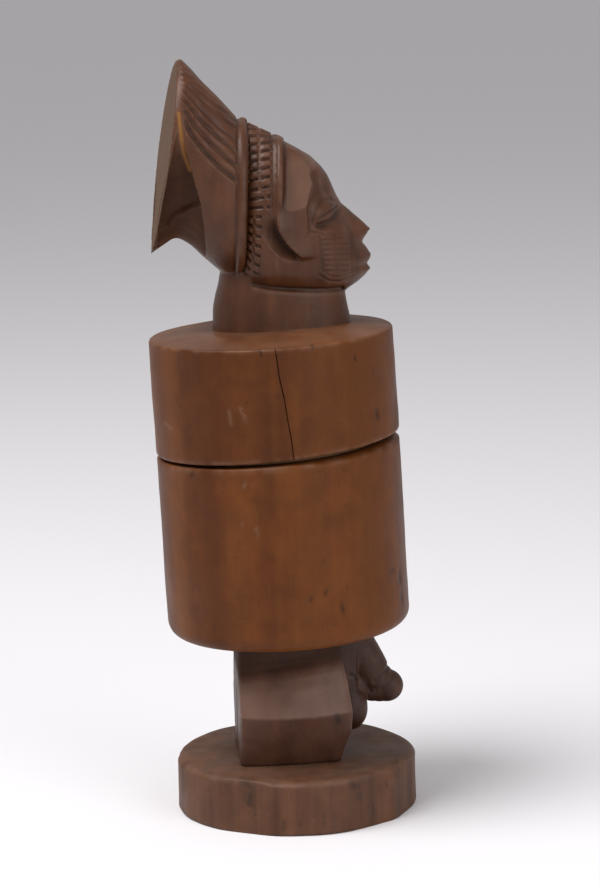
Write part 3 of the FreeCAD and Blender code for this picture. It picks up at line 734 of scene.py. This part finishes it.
def makePlinth():
    outer, high, edge = plinth["radius"], plinth["high"], plinth["edge"]
    profile = [(0, 0), (outer - plinth["foot"], 0), (outer, plinth["foot"])]
    profile += corner(outer - edge, high - edge, edge, 0) + [(0, high)]
    bm = spun(profile, 300, 1.1)
    mesh = meshFrom(bm, "plinth")
    points = readPoints(mesh)
    radius = np.hypot(points[:, 0], points[:, 1])
    rim = ramp(radius, outer - 9, outer - 1)
    for direction, depth in plinth["flats"]:
        away = np.array((math.cos(math.radians(direction)), math.sin(math.radians(direction))))
        out = points[:, :2] @ away
        over = np.maximum(out - (outer - depth), 0)
        points[:, :2] -= away * over[:, None]
    push = 0.5 * wobble(points, 30, 11) + 0.12 * wobble(points, 9, 12)
    away = points[:, :2] / np.maximum(radius, 1)[:, None]
    points[:, :2] += away * (push * rim)[:, None]
    onTop = ramp(points[:, 2], high - 3, high - 0.2)
    points[:, 2] += onTop * (0.12 * wobble(points, 14, 14) - 0.1 - ramp(radius, 43, 51) ** 2)
    onRight = (points[:, 0] < 0) * rim
    chip = grooves(-points[:, 1], points[:, 2], (plinth["chip"],), 4) * onRight
    points[:, :2] -= away * chip[:, None]
    writePoints(mesh, points)

    # worn edges, a top painted paler and greyer as a painted sheen, stains on the side and painted
    # shade round the legs
    edgeBand = 0.6 * bell(points[:, 2], high - 1.4, 1.1) * rim
    foot = 0.3 * bell(points[:, 2], 0, 1.4) * rim
    worn = np.maximum(edgeBand, foot) * patchy(points, 7, 15, 0.3, 1.6)
    # the top face is painted paler and greyer in patches: a painted sheen
    topSheen = 0.5 * onTop * (1 - 0.5 * ramp(radius, 40, 48)) * patchy(points, 12, 17, 0.7, 0.6)
    paint(mesh, "wear", np.maximum(worn, topSheen))
    routes = [(route, 0.75, width) for route, width in plinth["stains"]]
    stain = grooves(-points[:, 1], points[:, 2], routes) * onRight
    stain *= patchy(points, 2.5, 16, 0.7, 1)
    legShade = 1 - ramp(np.hypot(points[:, 0], points[:, 1]) / 25, 0.95, 1.25)
    paint(mesh, "cut", np.maximum(stain, 0.25 * legShade * onTop))
    return mesh


def blob(bm, centre, size):
    made = bmesh.ops.create_uvsphere(bm, u_segments=48, v_segments=32, radius=1)["verts"]
    bmesh.ops.scale(bm, verts=made, vec=size)
    bmesh.ops.translate(bm, verts=made, vec=centre)


def makePeg():
    bm = bmesh.new()
    path = [Vector((0, -f, h)) for f, h, _ in peg["shaft"]]
    outlines = []
    for i, (centre, (_, _, size)) in enumerate(zip(path, peg["shaft"])):
        ahead = path[min(i + 1, len(path) - 1)] - path[max(i - 1, 0)]
        turn = Vector((0, 0, 1)).rotation_difference(ahead).to_matrix()

        def outline(at, centre=centre, size=size, turn=turn):
            circle = Vector((math.cos(at * math.tau), math.sin(at * math.tau), 0)) * size
            return centre + turn @ circle
        outlines.append(outline)
    loft(bm, outlines, 40)
    for front, high, size in peg["balls"]:
        blob(bm, (0, -front, high), (size, size, size))
    for side, front, high in peg["lobes"]:
        blob(bm, (side, -front, high), peg["lobeSize"])
    half, front, back, low, high = peg["pad"]
    made = bmesh.ops.create_cube(bm, size=1)["verts"]
    for vert in made:
        vert.co = Vector((vert.co.x * 2 * half, -front if vert.co.y < 0 else -back,
                          low if vert.co.z < 0 else high))
    bmesh.ops.bevel(bm, geom=list({e for v in made for e in v.link_edges}), segments=3,
                    offset=peg["padRound"], profile=0.5, affect="EDGES", material=-1)
    mesh = remeshed(meshFrom(bm, "peg"), peg["voxel"])
    bm = bmesh.new()
    bm.from_mesh(mesh)
    for _ in range(peg["smoothed"]):
        bmesh.ops.smooth_vert(bm, verts=bm.verts, factor=0.5, use_axis_x=True,
                              use_axis_y=True, use_axis_z=True)
    bm.to_mesh(mesh)
    bm.free()
    points, normals = readPoints(mesh), readNormals(mesh)
    front, high = -points[:, 1], points[:, 2]
    notch = grooves(front, high, (peg["notch"],))
    seam = grooves(front, high, (peg["seam"],)) * ramp(np.abs(points[:, 0]), 2, 4)
    scoop = peg["scoop"] * chiselled(points, (7, 7, 9), 21) + 0.06 * wobble(points, 4, 22)
    points -= normals * (scoop + notch + seam)[:, None]
    writePoints(mesh, points)
    paint(mesh, "wear", patchy(points, 4, 23, 0, 0.3))
    # the notch and the seam are painted darker: painted shade in the grooves
    paint(mesh, "cut", np.maximum(notch * 2 / 3, seam))
    return mesh


place(makePlinth(), "base", upright, "figure_base", ["base_plinth"], baseWood)
place(makeLegs(), "legs", upright, "figure_base", ["leg_block"], legWood)
place(makePeg(), "peg", upright, "figure_base", ["front_peg"], pegWood)
print("legs and base made")


# head

# Places in the side view are (front, height). Tables go from height to size.
face = {
    # the profile in the middle, the front of the cheeks, how wide nose and mouth are, half width
    "reach": {214.5: 32, 217.5: 37, 220: 40.2, 222.4: 42.4, 223.3: 42.2, 224.7: 40.9,
              226.4: 42.6, 228.3: 43.1, 231.5: 41.3, 233.6: 39.6, 236: 41.4, 238.4: 43.8,
              242: 40.2, 247: 35, 250: 32, 254: 30, 258: 28.4, 262: 26.8, 266: 24.2,
              270: 20.4, 274: 14.5, 278: 8, 282: 1, 286: -6},
    "cheek": {214.5: 30.5, 218: 35, 222: 37.4, 228: 38, 234: 36.6, 240: 34, 246: 31.5,
              250: 30, 254: 29, 258: 28, 262: 26.6, 266: 24.2, 270: 20.4, 274: 14.5,
              278: 8, 282: 1, 286: -6},
    "feature": {214.5: 9, 219: 9.5, 223: 9.8, 228: 10, 232: 9, 235: 8, 238.8: 7.4, 244: 7,
                250: 7, 286: 7},
    "half": {214.5: 16.4, 218: 18.8, 222: 20.8, 228: 22.4, 236: 23.8, 244: 24.8, 252: 25.0,
             258: 24.4, 264: 22.6, 270: 19.4, 275: 15.6, 280: 10.6, 284: 6.0, 286: 3.0},
    "middle": 8.0, "back": -13.0, "power": 2.3, "backPower": 3.0, "droop": 0.17,
    "scoop": 0.2, "voxel": 0.56,
}
neck = {
    # height: front, back, half width
    200.5: (33.2, -23.6, 19.8), 204: (32.7, -23.3, 19.5), 210: (31.7, -22.9, 19.2),
    215: (31.0, -21.8, 18.9), 220: (29.5, -20.3, 18.2), 228: (26.0, -18.4, 16.6),
}
fan = {
    # share of the way back: lowest front and height, highest front and height, half width,
    # squareness, and how much wider it is above than below
    0.0: (-12.5, 222.0, -6.5, 285.0, 23.4, 2.2, 0.0),
    0.2: (-18.9, 225.6, -15.0, 295.6, 24.6, 2.25, 0.03),
    0.36: (-25.0, 231.5, -21.4, 302.7, 24.4, 2.1, 0.07),
    0.52: (-31.0, 237.6, -25.6, 308.2, 24.2, 1.95, 0.12),
    0.68: (-36.0, 240.4, -28.2, 311.2, 24.0, 1.8, 0.18),
    0.84: (-41.2, 238.2, -29.6, 312.2, 24.0, 1.68, 0.24),
    1.0: (-46.6, 235.0, -31.4, 311.4, 24.6, 1.6, 0.28),
}
hair = {
    # carved locks, each a route in the side view with its depth and width
    "locks": (
        (((-29.6, 288.5), (-26.4, 281.5), (-21.5, 274.0), (-15.5, 267.0), (-9.0, 261.6)),
         1.15, 0.8),
        (((-29.2, 292.5), (-24.6, 284.4), (-18.8, 277.0), (-12.6, 270.4), (-8.4, 266.8)),
         0.95, 0.75),
        (((-28.6, 295.8), (-22.6, 287.2), (-16.4, 280.0), (-8.0, 272.4)), 0.85, 0.7),
        (((-27.6, 298.4), (-21.4, 290.4), (-14.6, 283.0), (-7.8, 277.0)), 0.65, 0.65),
        (((-26.4, 300.6), (-19.6, 292.8), (-12.6, 286.0), (-7.6, 281.6)), 0.5, 0.6),
        (((-27.2, 303.4), (-20.0, 296.0), (-13.0, 289.4), (-8.2, 285.2)), 0.4, 0.6),
        (((-28.4, 306.0), (-23.0, 300.8), (-16.0, 294.0)), 0.3, 0.5),
    ),
    "fine": 0.10,
    "crease": ((-30.2, 302.0), (-30.0, 290.0), (-29.2, 278.0), (-27.6, 268.0), (-26.0, 260.0),
               (-24.4, 252.0), (-24.0, 244.0)),
    "rim": ((-30.4, 303.0), (-30.9, 292.0), (-32.4, 283.0), (-35.0, 272.0), (-38.2, 261.0),
            (-40.4, 254.0), (-42.4, 246.0), (-44.6, 236.0)),
    # the hollow is shallow below this line, where the back of the skull comes through
    "lump": {-37.5: 243.0, -36.0: 247.5, -31.0: 251.0, -25.0: 253.0},
    "hollow": 4.6, "shallow": 2.0, "gouged": 0.5,
    # a pale strip of sapwood beside the crease
    "sap": (((-30.9, 290.0), (-30.4, 280.0), (-28.8, 266.0)), 1, 0.75),
}
band = {
    # places across the band: front of it, half width, rise or depth
    "ribs": ((-5.6, 1.7, 1.35), (9.2, 1.5, 1.05)),
    "cuts": ((-7.7, 0.5, 0.6), (-3.9, 0.4, 0.7), (6.2, 0.5, 0.7), (7.4, 0.35, 0.4),
             (11.0, 0.45, 0.7)),
    # rows of small square holes: back and front edge, lowest and highest place
    "rows": ((-3.7, 0.4, 257.0, 300.0), (1.4, 5.6, 257.0, 300.0),
             (-3.7, 2.8, 247.5, 257.0), (3.7, 5.6, 247.5, 257.0),
             (-3.9, -1.5, 222.5, 247.5), (-0.5, 2.3, 222.5, 247.5)),
    "middle": 1.0, "axis": 252.0, "step": 3.9, "bar": 2.3, "hole": 1.2, "proud": 0.45,
}
ear = {
    "edge": ((7.0, 249.0), (5.8, 246.4), (5.4, 243.6), (6.0, 240.6), (7.4, 237.4), (9.4, 234.4),
             (11.6, 231.9), (13.8, 229.6)),
    "proud": 3.1, "reach": 9.5, "pit": 4.2, "wide": 8.0,
}
eye = {
    "ball": (25.4, 247.2), "tilt": 41.0, "long": 6.4, "tall": 3.5, "rise": 1.7,
    # lids, the fold below and the brow: a route in the side view, depth and width
    "lines": (
        (((22.4, 243.9), (24.4, 245.4), (27.2, 247.0), (30.2, 248.8)), 0.75, 0.42),
        (((19.9, 243.6), (22.6, 248.6), (25.6, 251.7), (28.4, 252.0), (30.4, 250.0)), 0.5, 0.5),
        (((22.6, 241.6), (26.6, 242.4), (29.4, 244.8), (31.0, 247.2)), 0.85, 0.9),
        (((22.0, 254.0), (25.4, 256.4), (29.2, 255.4)), 0.35, 1.2),
    ),
}
temple = {
    "ridge": {234.0: 17.0, 238.0: 17.4, 243.0: 17.5, 249.0: 17.6, 254.0: 19.0, 258.0: 20.4,
              262.0: 19.4, 266.0: 18.8},
    "socket": 2.0, "flat": ((24.3, 12.0, 252.0), (0.925, 0.05, 0.377)),
    "cheekLine": (((17.1, 237.2), (19.9, 239.6), (28.8, 236.9), (35.0, 236.8)), 0.45, 0.6),
    "jaw": ((-6.0, 219.8), (0.0, 218.2), (8.0, 216.9), (20.0, 215.6), (31.0, 215.0)),
    "jawWide": 0.8, "jawDeep": 1.1, "jawEnd": 31, "muzzle": 0.4,
}
scars = {
    # lines cut in the cheek, with their depth
    "wide": 0.45,
    "lines": (
        [(((23.4, 235.6 - 2.1 * i), (34.0 - 0.2 * i, 235.8 - 2.15 * i)), 0.38) for i in range(7)]
        + [(((22.2, 237.0), (22.5, 223.4)), 0.4), (((34.8, 236.0), (34.2, 222.4)), 0.3),
           (((28.2, 236.4), (28.0, 222.6)), 0.18),
           (((21.4, 221.4), (25.0, 218.9), (29.6, 218.3), (34.4, 220.4)), 0.4),
           (((22.4, 223.2), (26.0, 220.7), (30.0, 220.2), (34.0, 221.8)), 0.3)]
    ),
}
# carved lines run back and up a little as they go round the head's side
sweep = {"back": 0.123, "up": 0.09}


def sideView(points):
    side = np.abs(points[:, 0])
    return -points[:, 1] + sweep["back"] * side, points[:, 2] - sweep["up"] * side


# how far to the front a route is at a height
def routeFront(route, high):
    ordered = sorted((h, f) for f, h in route)
    return np.interp(high, [h for h, _ in ordered], [f for _, f in ordered])


# place on a rounded outline at a turn from 0 to 1; a power above 2 makes it squarer
def rounded(turn, power):
    c, s = math.cos(turn * math.tau), math.sin(turn * math.tau)
    return math.copysign(abs(c) ** (2 / power), c), math.copysign(abs(s) ** (2 / power), s)


def headOutline(high):
    reach, cheek = linear(face["reach"], high), linear(face["cheek"], high)
    half, feature = along(face["half"], high), linear(face["feature"], high)
    middle = min(face["middle"], cheek - 6)

    def outline(turn):
        ahead = math.cos(turn * math.tau) > 0
        end, power = (cheek, face["power"]) if ahead else (face["back"], face["backPower"])
        share, across = rounded(turn, power)
        side, front = half * across, middle + (end - middle) * abs(share)
        if ahead:
            front += (reach - cheek) * math.exp(-abs(side / feature) ** 1.9)
        droop = face["droop"] * max(15 - front, 0) * (1 - ramp(high, 216, 227))
        return Vector((side, -front, high + droop))
    return outline


def neckOutline(high):
    front, back, half = along(neck, high)
    middle, reach = (front + back) / 2, (front - back) / 2

    def outline(turn):
        share, across = rounded(turn, 2.5)
        return Vector((half * across, -middle - reach * share, high))
    return outline


def fanOutline(share):
    lowFront, low, highFront, high, half, power, skew = along(fan, share)

    def outline(turn):
        up, across = rounded(turn, power)
        climb = 0.5 + 0.5 * up
        return Vector((half * across * (1 + skew * up),
                       -(lowFront + (highFront - lowFront) * climb), low + (high - low) * climb))
    return outline


# the head's plain forms: skull with face, neck and flaring headdress
def solidForms():
    bm = bmesh.new()
    loft(bm, [headOutline(h) for h in np.arange(214.6, 286, 0.7)], 160)
    loft(bm, [neckOutline(h) for h in np.arange(200.9, 228, 1.5)], 120)
    loft(bm, [fanOutline(s) for s in np.linspace(0, 1, 44)], 150)
    return meshFrom(bm, "head")


# takes off what stands proud of a flat, on both sides of the head
def shave(points, flat, where):
    (side, front, high), (a, b, c) = flat
    over = (np.abs(points[:, 0]) - side) * a + (-points[:, 1] - front) * b
    over = np.clip(over + (points[:, 2] - high) * c, 0, None) * where
    points[:, 0] -= np.sign(points[:, 0]) * a * over
    points[:, 1] += b * over
    points[:, 2] -= c * over


# how far the headband has drifted back at a height
def bandDrift(high):
    return 4.6 * np.clip((287 - high) / 57, 0, 1.3) ** 1.4


# Each part of the carving gives how far points move out, and masks of what was cut, which are
# painted darker as painted shade.
# locks of hair, the crease behind them and the rough hollow under the flare
def carveHair(front, high, drifted, onSide):
    behindCrease = routeFront(hair["crease"], high) - front
    aheadOfRim = front - routeFront(hair["rim"], high)
    locks = grooves(front, high, hair["locks"])
    locks *= ramp(-drifted, 7.6, 9.0) * ramp(-behindCrease, 0.2, 2.2) * onSide
    between = ramp(behindCrease, 0.0, 0.9) * ramp(aheadOfRim, 0.2, 1.4) * onSide
    hollow = between * (1 - ramp(high, 262, 286))
    overLump = ramp(high - linear(hair["lump"], front), -0.5, 0.9)
    sunk = hollow * (hair["shallow"] + (hair["hollow"] - hair["shallow"]) * overLump)
    strand = np.sin((front * 0.72 + high) * 2.9 + 1.5 * np.sin(front * 0.35)) * onSide
    strand *= ramp(high, 262, 270) * ramp(-drifted, 7.6, 8.2) * ramp(-behindCrease, 0.3, 1.2)
    return hair["fine"] * strand - locks - sunk, locks, hollow


# headband: two ribs with a ladder of small square holes sunk between them
def carveBand(points, high, drifted, walk):
    rise, cut = np.zeros(len(points)), np.zeros(len(points))
    byEar = 1 - ramp(high, 246, 252)
    for centre, width, tall in band["ribs"]:
        rise += tall * bell(drifted, centre, width, 4)
    rise *= 1 - ramp(drifted, 6.4, 7.4) * byEar
    for centre, width, deep in band["cuts"]:
        cut = np.maximum(cut, deep * bell(drifted, centre, width))
    cut *= 1 - ramp(drifted, 5.6, 6.0) * byEar
    turn = np.arctan2(np.abs(points[:, 0]), points[:, 2] - band["axis"])
    walked = np.interp(turn, *walk) + 0.3 * wobble(points, 12, 41)
    barred = np.maximum.reduce([
        within(drifted, back, ahead, 0.4) * within(high, lowest, highest, 0.6)
        for back, ahead, lowest, highest in band["rows"]
    ])
    holes = barred * within(np.mod(walked, band["step"]), band["bar"], band["step"], 0.4)
    onBand = ramp(points[:, 2], 223, 227)
    out = rise - cut + band["proud"] * barred - band["hole"] * holes
    return out * onBand, np.maximum(0.6 * cut, 0.45 * holes) * onBand


# temple ridge with the eye's socket ahead of it, the eye, the cheek and its lines
def carveFace(front, high):
    ahead = front - linear(temple["ridge"], high)
    socket = ramp(ahead, 0.0, 1.4) * (1 - ramp(ahead, 8, 16))
    socket *= ramp(high, 238, 241.5) * (1 - ramp(high, 258, 265))
    tilt = math.radians(eye["tilt"])
    toFront, up = front - eye["ball"][0], high - eye["ball"][1]
    lengthways = (toFront * math.cos(tilt) + up * math.sin(tilt)) / eye["long"]
    crossways = (up * math.cos(tilt) - toFront * math.sin(tilt)) / eye["tall"]
    ball = eye["rise"] * np.exp(-(lengthways ** 2 + crossways ** 2) ** 1.6)
    eyeCut = grooves(front, high, eye["lines"])
    lines = grooves(front, high, [(route, deep, scars["wide"]) for route, deep in scars["lines"]])
    muzzle = ramp(front, 20, 24) * (1 - ramp(high, 236.4, 237.6)) * ramp(high, 214, 220)
    out = ball - eyeCut - lines - grooves(front, high, (temple["cheekLine"],))
    out += temple["muzzle"] * muzzle - temple["socket"] * socket
    return out, np.maximum(0.8 * eyeCut, 0.9 * lines)


# ear: the cheek rises to a sharp edge and drops into a pit behind it
def carveEar(front, high):
    ahead = front - routeFront(ear["edge"], high)
    pastEdge = ramp(ahead, -0.9, 0.1)
    fin = np.clip(1 - ahead / ear["reach"], 0, 1) ** 1.3 * pastEdge
    fin *= ramp(high, 227.6, 230.6) * (1 - ramp(high, 241.0, 250.0))
    pit = np.clip(1 + ahead / ear["wide"], 0, 1) ** 0.8 * (1 - pastEdge)
    pit *= ramp(high, 227.2, 231.0) * (1 - ramp(high, 239.0, 248.0))
    return ear["proud"] * fin - ear["pit"] * pit, pit


def carving(points, normals, walk):
    front, high = sideView(points)
    onSide = ramp(np.abs(normals[:, 0]), 0.12, 0.45)
    drifted = front + bandDrift(high)
    hairOut, locks, hollow = carveHair(front, high, drifted, onSide)
    bandOut, bandCut = carveBand(points, high, drifted, walk)
    faceOut, faceCut = carveFace(front, high)
    earOut, pit = carveEar(front, high)
    jaw = grooves(front, high, ((temple["jaw"], 1, temple["jawWide"]),))
    jaw *= front < temple["jawEnd"]
    out = hairOut + bandOut + onSide * (faceOut + earOut) - temple["jawDeep"] * jaw
    # the locks, band cuts, square holes, eye lines, scars, ear pit, hollow and jaw line are
    # painted darker: painted shade in the carving
    creviceShade = np.maximum.reduce([0.6 * locks, bandCut, faceCut * onSide, 0.9 * pit * onSide,
                                 0.35 * hollow, 0.6 * jaw])
    return out, np.clip(creviceShade, 0, 1), np.maximum(hollow, pit * onSide), drifted


# how far the headband runs from the crown, by the turn about a level axis in the head
def bandWalk(mesh):
    tree = BVHTree.FromPolygons([v.co for v in mesh.vertices],
                                [p.vertices[:] for p in mesh.polygons])
    turns, lengths, last = [0.0], [0.0], None
    front = band["middle"]
    for degrees in range(1, 176):
        turn = math.radians(degrees)
        ray = Vector((-math.sin(turn), 0, math.cos(turn)))
        hit = tree.ray_cast(Vector((0, -front, band["axis"])), ray)[0]
        if hit is None:
            continue
        seen = hit.z - sweep["up"] * abs(hit.x)
        front = band["middle"] - float(bandDrift(seen)) - sweep["back"] * abs(hit.x)
        step = math.hypot(hit.x - last.x, hit.z - last.z) if last else abs(hit.x)
        last = hit
        turns.append(turn)
        lengths.append(lengths[-1] + step)
    return turns, lengths


def makeHead():
    mesh = remeshed(solidForms(), face["voxel"])
    walk = bandWalk(mesh)
    points = readPoints(mesh)
    front, high = sideView(points)
    facet = ramp(front + bandDrift(high), 11.0, 12.2) * (1 - ramp(front, 21, 24))
    shave(points, temple["flat"], facet * ramp(high, 244, 248))
    writePoints(mesh, points)
    normals = readNormals(mesh)
    out, creviceShade, sheltered, drifted = carving(points, normals, walk)
    out -= face["scoop"] * chiselled(points, (7, 7, 10), 31) * (1 - sheltered)
    out -= hair["gouged"] * sheltered * chiselled(points, (3.5, 5, 4), 33)
    out += 0.05 * wobble(points, 5, 32)
    points += normals * (out * ramp(points[:, 2], 201.2, 202.5))[:, None]
    writePoints(mesh, points)
    paintHead(mesh, front, high, creviceShade, sheltered, drifted)
    return mesh


# masks for the finish: painted shade in the cuts, worn ridges with painted highlights, painted
# light on the temple plane, pale sapwood and the raw back
def paintHead(mesh, front, high, creviceShade, sheltered, drifted):
    points, normals = readPoints(mesh), readNormals(mesh)
    # the carved cuts, pits and hollows are painted darker: painted shade
    paint(mesh, "cut", creviceShade)
    paint(mesh, "raw", 0.8 * ramp(normals[:, 1], 0.86, 0.96) * ramp(points[:, 1], 28, 31))
    paint(mesh, "dry", sheltered)
    paint(mesh, "sap", grooves(front, high, (hair["sap"],), 4) * (points[:, 0] < 0))
    rimNear = bell(front, routeFront(hair["rim"], high), 0.8) * ramp(-front, 28, 30)
    # the rib crests are painted paler: wear and a painted highlight along them
    ribs = np.maximum.reduce([bell(drifted, centre, 0.5 * width)
                              for centre, width, _ in band["ribs"]])
    ribs *= ramp(points[:, 2], 225, 228)
    # a pale line on the neck just below the jaw: a painted highlight on the neck's top edge
    belowJaw = [(f, h - 1.9) for f, h in temple["jaw"]]
    ledge = grooves(front, high, ((belowJaw, 1, temple["jawWide"]),)) * (front < temple["jawEnd"])
    # the temple plane facing up is painted lighter: painted light from above
    plane = ramp(normals[:, 2], 0.22, 0.36) * within(front + bandDrift(high), 11.4, 24, 1.2)
    plane *= within(high, 244, 272, 5)
    worn = (0.35 * rimNear + 0.3 * ribs) * patchy(points, 5, 35, 0.4, 1.6)
    paint(mesh, "wear", np.clip(worn + 0.4 * ledge + 0.55 * plane, 0, 1))


place(makeHead(), "head", leaning, "lid", ["head_carving"], headWood)
print("head made")

# hidden joinery keeps its own shape
for name in ("lid_plug", "foot_dowels", "hip_dowels", "neck_dowel"):
    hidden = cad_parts[name]
    hidden.data.materials.clear()
    hidden.data.materials.append(plainWood)


# studio

studio = {
    "cameraFrom": (-1.1845, 0.1559, 0.3629), "down": 10.04, "turn": 0.71, "roll": 1.27,
    "lens": 119.0, "sideways": 7.0,
    "floor": (0.80, 0.785, 0.805), "world": (0.75, 0.74, 0.745), "worldStrength": 0.62,
    # place, size and power of each light
    "key": ((-0.30, 0.70, 1.5), 1.0, 25), "fill": ((-1.3, -0.9, 0.8), 1.3, 10),
    "aimHigh": 0.16,
}


def makeFloor():
    bm = bmesh.new()
    bmesh.ops.create_circle(bm, cap_ends=True, segments=96, radius=30)
    mesh = meshFrom(bm, "floor")
    material = bpy.data.materials.new("paleFloor")
    material.use_nodes = True
    shader = material.node_tree.nodes["Principled BSDF"]
    shader.inputs["Base Color"].default_value = (*studio["floor"], 1)
    shader.inputs["Roughness"].default_value = 0.9
    shader.inputs["Specular IOR Level"].default_value = 0.2
    mesh.materials.append(material)
    floor = bpy.data.objects.new("floor", mesh)
    bpy.context.scene.collection.objects.link(floor)


def makeLight(name):
    spot, size, power = studio[name]
    data = bpy.data.lights.new(name, "AREA")
    data.shape, data.size, data.energy = "DISK", size, power
    light = bpy.data.objects.new(name, data)
    light.location = spot
    aim = Vector((0, 0, studio["aimHigh"])) - Vector(spot)
    light.rotation_euler = aim.to_track_quat("-Z", "Y").to_euler()
    bpy.context.scene.collection.objects.link(light)


def makeCamera():
    sideways = math.radians(studio["sideways"])
    right = Vector((-math.sin(sideways), -math.cos(sideways), 0))
    ahead = Vector((math.cos(sideways), -math.sin(sideways), 0))
    down, turn = math.radians(studio["down"]), math.radians(studio["turn"])
    look = (ahead * math.cos(turn) + right * math.sin(turn)) * math.cos(down)
    look -= Vector((0, 0, math.sin(down)))
    level = look.cross(Vector((0, 0, 1))).normalized()
    over = level.cross(look)
    roll = math.radians(studio["roll"])
    across = level * math.cos(roll) - over * math.sin(roll)
    data = bpy.data.cameras.new("camera")
    data.lens, data.sensor_width, data.clip_end = studio["lens"], 36, 200
    camera = bpy.data.objects.new("camera", data)
    turned = Matrix((across, across.cross(look), -look)).transposed().to_4x4()
    camera.matrix_world = Matrix.Translation(studio["cameraFrom"]) @ turned
    bpy.context.scene.collection.objects.link(camera)
    bpy.context.scene.camera = camera


makeFloor()
makeLight("key")
makeLight("fill")
world = bpy.data.worlds.new("studio")
world.use_nodes = True
world.node_tree.nodes["Background"].inputs[0].default_value = (*studio["world"], 1)
world.node_tree.nodes["Background"].inputs[1].default_value = studio["worldStrength"]
bpy.context.scene.world = world
bpy.context.scene.view_settings.view_transform = "Standard"
makeCamera()
